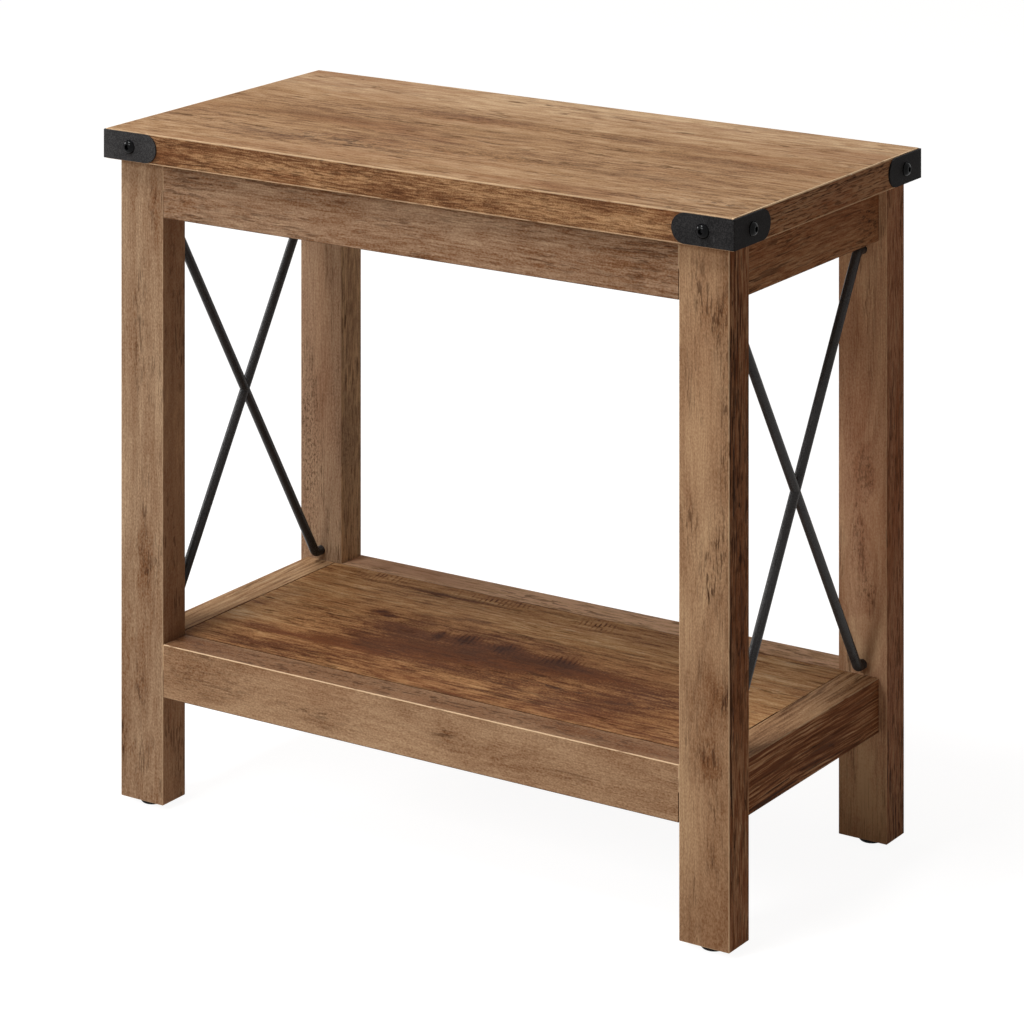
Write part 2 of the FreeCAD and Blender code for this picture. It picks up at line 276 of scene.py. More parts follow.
    def edge_distance(self, place: Shade, low: Vector, high: Vector) -> Shade:
        """Measures how far a point on a box-shaped board is from the board's nearest edge.

        Args:
            place: The point on the surface.
            low: The box's lowest corner.
            high: The box's highest corner.

        Returns:
            The middle one of the three distances to the box's walls, which is the sum less the least and the
            greatest. On a face the least is 0, so the middle one is the distance to the nearest edge.
        """
        centre = (low + high) / 2
        half = (high - low) / 2
        away = self.node("ShaderNodeVectorMath", {"operation": "ABSOLUTE"}, {0: self.way_from(centre, place)})
        a, b, c = self.axes(self.stretch(away, (-1.0, -1.0, -1.0), tuple(half)))
        least = a.math("MINIMUM", b).math("MINIMUM", c)
        most = a.math("MAXIMUM", b).math("MAXIMUM", c)
        return a + b + c - least - most

    def bump(self, height: Shade, depth: float, strength: float = 1.0) -> Shade:
        """The surface's normal, tilted by a height of up to depth metres."""
        inputs = {"Height": height, "Distance": depth, "Strength": strength}
        return self.node("ShaderNodeBump", None, inputs, "Normal")

    def surface(self, **sockets: Shade | float | Colour) -> bpy.types.Material:
        """Ends the tree in a Principled shader.

        Args:
            sockets: A value or a Shade for each socket, with its name in small letters and low dashes.

        Returns:
            The finished material.
        """
        named = {key.replace("_", " ").title().replace("Ior", "IOR"): value for key, value in sockets.items()}
        self.end(self.node("ShaderNodeBsdfPrincipled", None, named))
        return self.owner

    def end(self, shader: Shade, output: str = "ShaderNodeOutputMaterial") -> None:
        """Links a shader to the tree's output."""
        self.links.new(shader.socket, self.nodes.new(output).inputs["Surface"])


class Grain(Enum):
    """The way a board's grain runs, as the numbers of the axes along it, across its face and through it."""

    LENGTHWISE = (0, 1, 2)
    SIDEWAYS = (1, 0, 2)
    UPRIGHT = (2, 0, 1)


class Face(Enum):
    """A face of a board, as the number of the axis that it looks along and the way that it looks."""

    UPPER = (2, 1)
    FRONT = (1, -1)
    RIGHT = (0, 1)


@dataclass(frozen=True)
class Mark:
    """A figure in the oak print: a darker or paler place, a knot with rings about it, or a patch of strokes.
    A few paler places are painted light instead of print, where a comment says so.

    The spot is measured across the face from the middle of the board, and the reach along x, y and z, both in
    millimetres. Depth is how much darker the place is, or paler below 0, rings is how many growth rings close
    about it, pores is how thick its pores lie, and saw is how dark the saw's strokes are.
    """

    face: Face
    spot: Pair
    reach: Triple
    depth: float = 0.0
    rings: float = 0.0
    pores: float = 0.0
    saw: float = 0.0

    def blob(self, tree: ShaderTree, off: Shade, half: Vector) -> Shade:
        """Adds the soft ellipsoid in which the mark lies.

        Args:
            tree: The material's tree.
            off: The point on the surface, from the middle of the board.
            half: Half the board's sizes.

        Returns:
            A value that falls from 1 at the centre, which is the spot on the face, to 0 around it.
        """
        axis, way = self.face.value
        centre = [part * MM for part in self.spot]
        centre.insert(axis, way * half[axis])
        return tree.blob(off, Vector(centre), Vector(self.reach) * MM)


@dataclass(frozen=True)
class Layer:
    """A noise of the oak print.

    The waves count along, across and through the grain, in each metre. Detail and roughness are the noise's
    own, cut is the step that makes separate marks of it, and apart moves it away from the board's other
    noises.
    """

    waves: Triple
    detail: float = 3.0
    roughness: float = 0.5
    cut: Pair | None = None
    apart: float = 0.0

    def draw(self, tree: ShaderTree, point: Shade, seed: Triple) -> Shade:
        """Adds the noise.

        Args:
            tree: The material's tree.
            point: The point that the noise is read at.
            seed: The board's shift.

        Returns:
            The noise, about 0 on average, or its step from 0 to 1 where it is cut.
        """
        shift = tuple(s + self.apart for s in seed)
        noise = tree.noise(point, self.waves, shift, self.detail, self.roughness)
        return noise.step(*self.cut) if self.cut else noise - NOISE_MEAN


CLOUD = Layer((7.0, 24.0, 24.0), roughness=0.55)
BAND = Layer((2.0, 55.0, 55.0), roughness=0.6)
SPECKLE = Layer((500.0, 900.0, 900.0), detail=1.0)
REDDISH = Layer((4.0, 26.0, 26.0), cut=(0.46, 0.72), apart=4.2)
LINE_PATCHES = Layer((5.0, 38.0, 38.0), cut=(0.42, 0.62), apart=8.8)
SCATTERED = Layer((9.0, 50.0, 50.0), roughness=0.6, cut=(0.60, 0.74), apart=5.1)
SWAY = Layer((2.5, 9.0, 9.0), detail=2.0)
QUIVER = Layer((40.0, 70.0, 70.0), detail=2.0)
SAW_GAPS = Layer((90.0, 120.0, 120.0), detail=2.0, cut=(0.36, 0.6))
EDGE_LINE_GAPS = Layer((60.0, 60.0, 60.0), cut=(0.25, 0.45))


@dataclass(frozen=True)
class OakPrint:
    """The rustic oak print on the boards.

    The colours run from the deepest streaks to the palest grain. The strengths say how much each layer of the
    print moves the tone, which runs from 0, deep, to 1, pale, and the sides are the faces to the left and
    right. The side tone and redness are painted light and shade on those faces, partly a different cut of the
    print. The pale edge line is partly wear and partly a painted highlight, and the dark edge line is painted
    shade. The waves count along, across and through the grain, in each metre.
    """

    deep: Colour = linear(62, 38, 24)
    dark: Colour = linear(106, 72, 47)
    middle: Colour = linear(157, 121, 88)
    light: Colour = linear(181, 146, 110)
    pale: Colour = linear(204, 174, 138)
    russet: Colour = linear(126, 74, 42)
    pore: Colour = linear(58, 36, 23)
    # The colour of the pale edge line, which is partly wear and partly a painted highlight.
    rubbed_and_lit_edge: Colour = linear(226, 198, 162)
    base_tone: float = 0.54
    cloud: float = 0.55
    band: float = 0.25
    fibre: float = 0.70
    speckle: float = 0.45
    ring: float = 0.03
    ring_count: float = 60.0
    pores: float = 0.50
    lines: float = 0.22
    nicks: float = 0.80
    cluster_floor: float = 0.50
    fibre_waves: Triple = (60.0, 1000.0, 1000.0)
    pore_waves: Triple = (70.0, 850.0, 850.0)
    line_waves: Triple = (18.0, 800.0, 800.0)
    nick_waves: Triple = (130.0, 420.0, 420.0)
    redness: float = 0.30
    upper_redness: float = 0.0
    saw_pitch: float = 4.6 * MM
    edging_tone: float = -0.14
    # Painted light and shade: tone and redness for the faces that look left and right, partly a different cut
    # of the print.
    side_lighting_tone: float = 0.0
    side_lighting_red: float = 0.0
    side_contrast: float = 0.0
    edge_line_width: float = 0.8 * MM
    # Strengths of the pale edge line, partly wear and partly a painted highlight, and of the painted
    # highlight on the upper end edges.
    rub_and_highlight: float = 0.45
    end_highlight: float = 0.0
    # Strength of the painted shade along the lower edges and the joints.
    painted_edge_shade: float = 0.5
    relief: float = 0.3 * MM
    roughness: float = 0.6
    gloss: float = 0.03
    tone_stops: tuple[float, ...] = (0.0, 0.28, 0.54, 0.76, 1.0)
    pore_cut: Pair = (0.54, 0.60)
    line_cut: Pair = (0.54, 0.61)
    nick_cut: Pair = (0.52, 0.59)
    nicks_apart: float = 2.6
    cluster_waves: Triple = (11.0, 60.0, 60.0)
    cluster_rise: float = 0.16
    side_clusters: float = 0.4
    edging_clusters: float = 0.5
    scatter_share: float = 0.5
    marked_fibre: float = 3.0
    marked_band: float = 1.5
    pore_depth: float = 0.7
    bump_strength: float = 0.6
    cloud_dullness: float = 0.3
    pore_dullness: float = 0.15
    sway: float = 14 * MM
    quiver: float = 2 * MM
    ragged: float = 14 * MM
    wander_waves: Triple = (30.0, 90.0, 90.0)
    ring_waves: Triple = (2.2, 18.0, 18.0)
    saw_waves: Triple = (50.0, 30.0, 30.0)
    saw_unevenness: float = 9.0
    saw_slant: float = 0.25
    saw_cut: Pair = (-0.1, 0.8)
    seam: float = 2 * MM
    edge_line_core_share: float = 0.7

    def material(self, board: Board) -> bpy.types.Material:
        """Makes one board's print.

        Args:
            board: The board, which gives the grain's way, the seed and the marks.

        Returns:
            The material. Its tone is a sum of noises drawn out along the grain, of the contour lines of a
            slow noise, which close into rings about the knots, and of the marks. Short dark pores and longer
            lines lie over it in clusters, with a pale line along each edge, partly wear and partly a painted
            highlight, and a dark line of painted shade along each lower edge and each joint.
        """
        tree = ShaderTree.of_material(f"oak_{board.node}")
        place = tree.place()
        seed = board.shift()
        along = self.swaying(tree, board.grain_frame(tree, place), seed)
        facing = tree.axes(tree.facing())
        on_side = facing[0].math("ABSOLUTE").step(*FACING)
        sharper = on_side * self.side_contrast + 1.0
        cloud = CLOUD.draw(tree, along, seed)
        band = BAND.draw(tree, along, seed)
        fibre = Layer(self.fibre_waves, detail=1.5, roughness=0.6).draw(tree, along, seed) * sharper
        speckle = SPECKLE.draw(tree, along, seed)
        figure = self.figure(tree, board, place, along)
        thick = (self.cluster_floor, self.cluster_floor + self.cluster_rise)
        clusters = Layer(self.cluster_waves, roughness=0.6, cut=thick).draw(tree, along, seed)
        clusters = clusters + on_side * (self.side_clusters * self.side_contrast)
        # The side tone in this sum is painted light and shade on the faces that look left and right.
        tone = (cloud * self.cloud + band * self.band + fibre * self.fibre + speckle * self.speckle
                + figure["rings"] * self.ring + on_side * self.side_lighting_tone + (self.base_tone + board.tone))
        streaked = fibre * self.marked_fibre + band * self.marked_band + 1.0
        tone = tone + figure["paler"] - figure["darker"] * streaked
        red_share = REDDISH.draw(tree, along, seed) * self.redness
        # Painted warm shade: the faces that look left and right are redder, partly a different cut of the
        # print.
        if self.side_lighting_red:
            red_share = red_share + on_side * self.side_lighting_red
        if self.upper_redness:
            red_share = red_share + facing[2].step(*FACING) * self.upper_redness
        if board.banded_ends:
            on_edging = facing[2].math("ABSOLUTE").step(*TURNED_AWAY)
            tone = tone + on_edging * self.edging_tone
            clusters = clusters + on_edging * self.edging_clusters
        pores = Layer(self.pore_waves, detail=1.0, roughness=0.6, cut=self.pore_cut).draw(tree, along, seed)
        pores = pores * clusters.clamp()
        lines = Layer(self.line_waves, detail=1.0, roughness=0.6, cut=self.line_cut).draw(tree, along, seed)
        lines = lines * sharper * LINE_PATCHES.draw(tree, along, seed)
        scattered = SCATTERED.draw(tree, along, seed) * self.scatter_share
        nick = Layer(self.nick_waves, detail=2.0, roughness=0.6, cut=self.nick_cut, apart=self.nicks_apart)
        nicks = nick.draw(tree, along, seed) * (figure["pores"] + scattered).clamp()
        tones = (self.deep, self.dark, self.middle, self.light, self.pale)
        colour = tree.ramp(tone.clamp(), list(zip(self.tone_stops, tones)))
        colour = tree.mix(red_share, colour, self.russet)
        colour = tree.mix(pores * self.pores + lines * self.lines + nicks * self.nicks, colour, self.pore)
        upper, lower = self.edges(tree, board, place)
        # A pale line along the edges: partly wear, partly a painted highlight on the arrises.
        colour = tree.mix(upper, colour, self.rubbed_and_lit_edge)
        # A dark line of painted shade along the lower edges and the joints.
        colour = tree.mix(lower, colour, self.pore)
        rough = cloud * self.cloud_dullness + pores * self.pore_dullness + self.roughness
        height = fibre - pores * self.pore_depth - nicks
        return tree.surface(base_color=colour, roughness=rough, specular_ior_level=self.gloss,
                            normal=tree.bump(height, self.relief, self.bump_strength))

    def swaying(self, tree: ShaderTree, along: Shade, seed: Triple) -> Shade:
        """Bends straight grain a little.

        Args:
            tree: The material's tree.
            along: The point, as (along, across, through) the grain.
            seed: The board's shift.

        Returns:
            The point, moved across the grain by a slow noise and by a quick one of less reach.
        """
        aside = SWAY.draw(tree, along, seed) * self.sway + QUIVER.draw(tree, along, seed) * self.quiver
        return tree.moved(along, tree.vector((0.0, aside, aside)))

    def figure(self, tree: ShaderTree, board: Board, place: Shade, along: Shade) -> dict[str, Shade]:
        """Draws a board's marks and growth rings.

        Args:
            tree: The material's tree.
            board: The board.
            place: The point on the surface.
            along: The point along the grain.

        Returns:
            How much darker and how much paler the marks make the print, how thick they lay the pores, and
            the rings, from -1 to 1: the sine of a slow noise that each knot lifts, so that its contour lines
            close about the knot.
        """
        low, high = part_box(board.node)
        seed = board.shift()
        lifted = tree.noise(along, self.ring_waves, seed, 1.0)
        wander = tree.noise(along, self.wander_waves, seed, 3.0, output="Color")
        stray = tree.stretch(wander, (self.ragged,) * 3, (-self.ragged / 2,) * 3)
        ragged = tree.moved(tree.way_from((low + high) / 2, place), stray)
        darker = paler = pores = lifted * 0.0
        for mark in board.marks:
            blob = mark.blob(tree, ragged, (high - low) / 2)
            if mark.depth > 0.0:
                darker = darker + blob * mark.depth
            elif mark.depth < 0.0:
                paler = paler - blob * mark.depth
            if mark.pores:
                pores = pores + blob * mark.pores
            if mark.rings:
                lifted = lifted + blob * (mark.rings / self.ring_count * 2 * math.pi)
            if mark.saw:
                darker = darker + blob * self.saw_strokes(tree, along, seed) * mark.saw
        rings = (lifted * self.ring_count).math("SINE")
        return {"darker": darker, "paler": paler, "pores": pores, "rings": rings}

    def saw_strokes(self, tree: ShaderTree, along: Shade, seed: Triple) -> Shade:
        """Draws the saw's strokes across the grain.

        Args:
            tree: The material's tree.
            along: The point along the grain.
            seed: The board's shift.

        Returns:
            Strokes from 0 to 1: the sine of the way along the grain plus a share of the way across, made
            uneven by noise. Another noise drops some of them.
        """
        way, across, _ = tree.axes(along)
        uneven = tree.noise(along, self.saw_waves, seed, 2.0) * self.saw_unevenness
        turns = (way + across * self.saw_slant) * (2 * math.pi / self.saw_pitch) + uneven
        return turns.math("SINE").step(*self.saw_cut) * SAW_GAPS.draw(tree, along, seed)

    def edges(self, tree: ShaderTree, board: Board, place: Shade) -> tuple[Shade, Shade]:
        """Finds the edges of a board.

        Args:
            tree: The material's tree.
            board: The board.
            place: The point on the surface.

        Returns:
            How pale the edges are, with short gaps, which is partly wear and partly a painted highlight, and
            how dark the painted shade makes the edges that are not pale: the lower edges of a lying board,
            and those on the side where it meets its neighbour.
        """
        low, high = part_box(board.node)
        core = self.edge_line_core_share * self.edge_line_width
        edge = tree.edge_distance(place, low, high).step(self.edge_line_width, core)
        gaps = EDGE_LINE_GAPS.draw(tree, place, board.shift())
        if board.grain is Grain.UPRIGHT:
            return edge * gaps * self.rub_and_highlight, edge * 0.0
        centre = (low + high) / 2
        x, y, z = tree.axes(tree.way_from(centre, place))
        # Painted shade: a dark line along the lower edges, where shade falls under a lying board, and along
        # each joint.
        dark = z.step(self.seam, 0.0) * float(self.painted_edge_shade > 0.0)
        for axis, way in zip((x, y), board.joined):
            if way:
                dark = dark.math("MAXIMUM", (axis * way).step(0.0, self.seam))
        # Painted highlight: the upper edges of the banded ends get a paler line, where light catches the
        # arris.
        end = high.x - centre.x
        on_end = x.math("ABSOLUTE").step(end - self.seam, end - self.seam / 2) * z.step(0.0, self.seam)
        return edge * gaps * (1.0 - dark) * (on_end * self.end_highlight + self.rub_and_highlight), edge * dark * self.painted_edge_shade


@dataclass(frozen=True)
class BlackCoat:
    """A black powder coat on steel, with a fine tooth, faint mottling and a few paler scuffs."""

    name: str
    colour: Colour = linear(28, 28, 29)
    mottle: Colour = linear(50, 50, 51)
    worn: Colour = linear(84, 84, 86)
    tooth: float = 1100.0
    tooth_cut: Pair = (0.40, 0.66)
    tooth_share: float = 0.75
    tooth_dullness: float = 0.15
    mottle_waves: float = 70.0
    mottle_cut: Pair = (0.35, 0.7)
    mottle_share: float = 0.25
    mottle_dullness: float = 0.25
    scuff_waves: Triple = (400.0, 400.0, 90.0)
    scuff_cut: Pair = (0.66, 0.8)
    scuff_share: float = 0.25
    relief: float = 0.08 * MM
    bump_strength: float = 0.5
    roughness: float = 0.55
    gloss: float = 0.03

    def material(self) -> bpy.types.Material:
        """Makes the coat: two noises mottle it, a third scuffs it, and the finest gives it its tooth."""
        tree = ShaderTree.of_material(self.name)
        place = tree.place()
        fine = tree.noise(place, (self.tooth,) * 3, (0.0, 0.0, 0.0), 2.0)
        broad = tree.noise(place, (self.mottle_waves,) * 3, (3.0, 1.0, 2.0), 3.0)
        scuffs = tree.noise(place, self.scuff_waves, (5.0, 2.0, 8.0), 3.0).step(*self.scuff_cut)
        mottled = (fine.step(*self.tooth_cut) * self.tooth_share
                   + broad.step(*self.mottle_cut) * self.mottle_share)
        colour = tree.mix(mottled, self.colour, self.mottle)
        colour = tree.mix(scuffs * self.scuff_share, colour, self.worn)
        rough = ((broad - NOISE_MEAN) * self.mottle_dullness + (fine - NOISE_MEAN) * self.tooth_dullness
                 + self.roughness)
        return tree.surface(base_color=colour, roughness=rough, specular_ior_level=self.gloss,
                            normal=tree.bump(fine, self.relief, self.bump_strength))


@dataclass(frozen=True)
class MouldedPlastic:
    """The black moulded plastic of the feet, with a fine spark-eroded grain."""

    name: str
    colour: Colour = linear(14, 14, 15)
    scuffed: Colour = linear(34, 34, 34)
    grain_waves: float = 2600.0
    grain_dullness: float = 0.2
    scuff_waves: Triple = (320.0, 320.0, 900.0)
    scuff_cut: Pair = (0.58, 0.75)
    scuff_share: float = 0.4
    scuff_dullness: float = 0.15
    relief: float = 0.03 * MM
    bump_strength: float = 0.5
    roughness: float = 0.5
    gloss: float = 0.06

    def material(self) -> bpy.types.Material:
        """Makes the plastic: a fine noise gives the grain, and a coarser one the scuffs."""
        tree = ShaderTree.of_material(self.name)
        place = tree.place()
        grain = tree.noise(place, (self.grain_waves,) * 3, (1.0, 4.0, 2.0), 2.0)
        scuffs = tree.noise(place, self.scuff_waves, (2.0, 2.0, 5.0), 4.0).step(*self.scuff_cut)
        colour = tree.mix(scuffs * self.scuff_share, self.colour, self.scuffed)
        rough = (grain - NOISE_MEAN) * self.grain_dullness + scuffs * self.scuff_dullness + self.roughness
        return tree.surface(base_color=colour, roughness=rough, specular_ior_level=self.gloss,
                            normal=tree.bump(grain, self.relief, self.bump_strength))


@dataclass(frozen=True)
class PlatedMetal:
    """A plated or cast fitting: bright zinc, or the dull grey of a cast cam."""

    name: str
    colour: Colour
    tarnish: Colour
    roughness: float
    dull_waves: float = 260.0
    dull_cut: Pair = (0.4, 0.7)
    dull_share: float = 0.7
    dull_roughness: float = 0.18
    pit_waves: float = 3000.0
    pit_roughness: float = 0.12
    relief: float = 0.02 * MM
    bump_strength: float = 0.4

    def material(self) -> bpy.types.Material:
        """Makes the metal: a slow noise dulls the plating and a fine one pits it."""
        tree = ShaderTree.of_material(self.name)
        place = tree.place()
        dull = tree.noise(place, (self.dull_waves,) * 3, (7.0, 3.0, 1.0), 4.0).step(*self.dull_cut)
        pits = tree.noise(place, (self.pit_waves,) * 3, (4.0, 6.0, 2.0), 2.0)
        colour = tree.mix(dull * self.dull_share, self.colour, self.tarnish)
        rough = dull * self.dull_roughness + (pits - NOISE_MEAN) * self.pit_roughness + self.roughness
        return tree.surface(base_color=colour, metallic=1.0, roughness=rough,
                            normal=tree.bump(pits, self.relief, self.bump_strength))


@dataclass(frozen=True)
class BeechDowel:
    """The fluted beech of the dowels, with its short dark flecks."""

    name: str = "beech_dowel"
    pale: Colour = linear(214, 182, 140)
    warm: Colour = linear(188, 148, 106)
    fleck: Colour = linear(140, 98, 64)
    tone_waves: float = 300.0
    tone_dullness: float = 0.2
    fleck_waves: float = 1800.0
    fleck_cut: Pair = (0.6, 0.7)
    fleck_share: float = 0.6
    relief: float = 0.08 * MM
    bump_strength: float = 0.5
    roughness: float = 0.6

    def material(self) -> bpy.types.Material:
        """Makes the beech: a slow noise for its tone and a fine one, cut off high, for the flecks."""
        tree = ShaderTree.of_material(self.name)
        place = tree.place()
        tone = tree.noise(place, (self.tone_waves,) * 3, (2.0, 9.0, 4.0), 3.0)
        flecks = tree.noise(place, (self.fleck_waves,) * 3, (6.0, 1.0, 3.0), 2.0).step(*self.fleck_cut)
        colour = tree.mix(flecks * self.fleck_share, tree.mix(tone, self.pale, self.warm), self.fleck)
        rough = (tone - NOISE_MEAN) * self.tone_dullness + self.roughness
        return tree.surface(base_color=colour, roughness=rough,
                            normal=tree.bump(tone - flecks, self.relief, self.bump_strength))


@dataclass(frozen=True)
class Board:
    """One board of the table, with the way its print runs and the marks in it.

    Joined points along x or y to the side on which a lying board meets its neighbour.
    """

    node: str
    grain: Grain
    seed: int
    oak: OakPrint
    marks: tuple[Mark, ...] = ()
    tone: float = 0.0
    banded_ends: bool = False
    joined: tuple[int, int] = (0, 0)
    edging_fineness: float = 0.4

    def shift(self) -> Triple:
        """Where in the noise this board's print is cut from: a different place for each seed."""
        return tuple(step * self.seed + start for step, start in zip(SEED_STEP, SEED_START))

    def grain_frame(self, tree: ShaderTree, place: Shade) -> Shade:
        """Turns a point to run along the grain.

        Args:
            tree: The material's tree.
            place: The point on the surface.

        Returns:
            The point as (along, across, through). On the banded ends of a lengthwise board, where the surface
            faces along the board, the grain runs along the band instead, and its figure is finer all round
            the band.
        """
        axes = tree.axes(place)
        run = tree.vector(tuple(axes[i] for i in self.grain.value))
        if not self.banded_ends:
            return run
        facing = tree.axes(tree.facing())
        on_end = facing[self.grain.value[0]].math("ABSOLUTE").step(*SQUARE_ON)
        band = tree.vector(tuple(axes[i] for i in Grain.SIDEWAYS.value))
        settings = {"data_type": "VECTOR", "clamp_factor": True}
        turned = tree.node("ShaderNodeMix", settings, {0: on_end, 4: run, 5: band}, 1)
        finer = facing[2].math("ABSOLUTE").step(*TURNED_AWAY) * self.edging_fineness + 1.0
        scale = tree.vector((finer,) * 3)
        return tree.node("ShaderNodeVectorMath", {"operation": "MULTIPLY"}, {0: turned, 1: scale})

    def dress(self) -> str:
        """Gives the board its print and returns the board's name."""
        put_on(self.node, self.oak.material(self))
        return self.node


def put_on(node: str, material: bpy.types.Material) -> None:
    """Puts a material on every slot of a CAD node.

    Args:
        node: The node's name.
        material: What it wears.
    """
    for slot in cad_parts[node].material_slots:
        slot.material = material


@dataclass
class BoardWork:
    """The top, the shelf, the legs, the aprons and the rails."""

    top: OakPrint = OakPrint(
        base_tone=0.56, middle=linear(158, 123, 88), light=linear(180, 147, 113), band=0.5,
        edging_tone=-0.19, fibre=0.85, pores=0.55, rub_and_highlight=0.42, edge_line_width=1.3 * MM, end_highlight=0.58, painted_edge_shade=0.0,
        side_lighting_tone=0.52, side_lighting_red=0.55, side_contrast=1.4, fibre_waves=(42.0, 250.0, 560.0),
        pore_waves=(60.0, 270.0, 560.0), line_waves=(14.0, 250.0, 520.0), nick_waves=(110.0, 250.0, 420.0))
    shelf: OakPrint = OakPrint(
        deep=linear(52, 27, 15), dark=linear(96, 58, 34), middle=linear(156, 114, 75),
        light=linear(182, 143, 100), base_tone=0.50, band=0.5, cloud=0.5, fibre=1.0, pores=0.5, lines=0.4,
        redness=0.28, rub_and_highlight=0.15, painted_edge_shade=0.8, fibre_waves=(42.0, 280.0, 1000.0),
        pore_waves=(55.0, 290.0, 850.0), line_waves=(13.0, 270.0, 800.0), nick_waves=(90.0, 240.0, 420.0))
    right_leg: OakPrint = OakPrint(
        base_tone=0.53, middle=linear(148, 118, 90), light=linear(175, 146, 113), band=0.2, fibre=0.34,
        redness=0.1, speckle=0.42, lines=0.12, nicks=0.62, side_lighting_tone=-0.02, side_lighting_red=0.48,
        side_contrast=6.0, rub_and_highlight=0.42, fibre_waves=(30.0, 1000.0, 420.0), pore_waves=(50.0, 850.0, 420.0),
        line_waves=(10.0, 800.0, 360.0), nick_waves=(80.0, 520.0, 260.0))
    left_leg: OakPrint = OakPrint(
        base_tone=0.52, middle=linear(143, 118, 94), light=linear(170, 145, 117), band=0.2, fibre=0.4,
        redness=0.05, speckle=0.5, lines=0.1, nicks=0.6, side_lighting_tone=0.13, side_lighting_red=0.40,
        side_contrast=0.3, rub_and_highlight=0.25, fibre_waves=(45.0, 1000.0, 420.0), pore_waves=(80.0, 700.0, 500.0),
        line_waves=(8.0, 800.0, 260.0), nick_waves=(100.0, 420.0, 260.0))
    knotty_leg: OakPrint = OakPrint(
        base_tone=0.53, middle=linear(157, 118, 92), light=linear(182, 145, 114), band=0.2, fibre=0.4,
        redness=0.5, ring=0.05, nicks=0.42, side_lighting_tone=-0.12, side_lighting_red=0.48, side_contrast=1.8,
        rub_and_highlight=0.18, fibre_waves=(60.0, 1000.0, 550.0), pore_waves=(60.0, 850.0, 500.0),
        line_waves=(14.0, 800.0, 420.0), nick_waves=(240.0, 640.0, 260.0))
    far_leg: OakPrint = OakPrint(
        base_tone=0.63, middle=linear(147, 118, 95), light=linear(172, 145, 117), band=0.2, fibre=0.5,
        redness=0.2, nicks=0.6, side_lighting_tone=0.28, side_contrast=1.2, rub_and_highlight=0.15,
        fibre_waves=(60.0, 1000.0, 550.0), pore_waves=(60.0, 850.0, 500.0),
        line_waves=(14.0, 800.0, 420.0), nick_waves=(320.0, 640.0, 260.0))
    apron: OakPrint = OakPrint(
        middle=linear(144, 118, 95), light=linear(170, 145, 116), redness=0.1, rub_and_highlight=0.5,
        cluster_floor=0.46, cloud=0.45, fibre=0.55, pores=0.50, nicks=0.6,
        fibre_waves=(50.0, 330.0, 800.0), pore_waves=(70.0, 300.0, 700.0), nick_waves=(55.0, 300.0, 330.0))
    rail: OakPrint = OakPrint(
        middle=linear(148, 119, 92), light=linear(173, 145, 114), redness=0.15, upper_redness=0.15,
        rub_and_highlight=0.75, painted_edge_shade=0.8, cluster_floor=0.60, fibre=0.35, speckle=0.5, pores=0.35, lines=0.1,
        fibre_waves=(60.0, 330.0, 1000.0), pore_waves=(80.0, 300.0, 850.0),
        nick_waves=(75.0, 300.0, 560.0))
    far_rail: OakPrint = OakPrint(
        base_tone=0.93, pale=linear(212, 174, 142), redness=0.5, rub_and_highlight=0.6, fibre=1.3, band=0.6,
        cluster_floor=0.44, fibre_waves=(40.0, 300.0, 1000.0), pore_waves=(60.0, 260.0, 850.0),
        line_waves=(14.0, 260.0, 800.0))
    side_apron: OakPrint = OakPrint(
        base_tone=0.58, band=0.4, fibre=0.8, side_lighting_tone=0.02, side_lighting_red=0.50, side_contrast=0.8,
        lines=0.3, fibre_waves=(60.0, 1000.0, 800.0), pore_waves=(60.0, 850.0, 700.0),
        line_waves=(16.0, 800.0, 600.0))
    side_rail: OakPrint = OakPrint(
        base_tone=0.51, band=0.4, fibre=1.1, side_lighting_tone=-0.20, side_lighting_red=0.45, side_contrast=1.6,
        lines=0.35, fibre_waves=(16.0, 320.0, 620.0), pore_waves=(26.0, 340.0, 620.0),
        line_waves=(9.0, 300.0, 560.0))

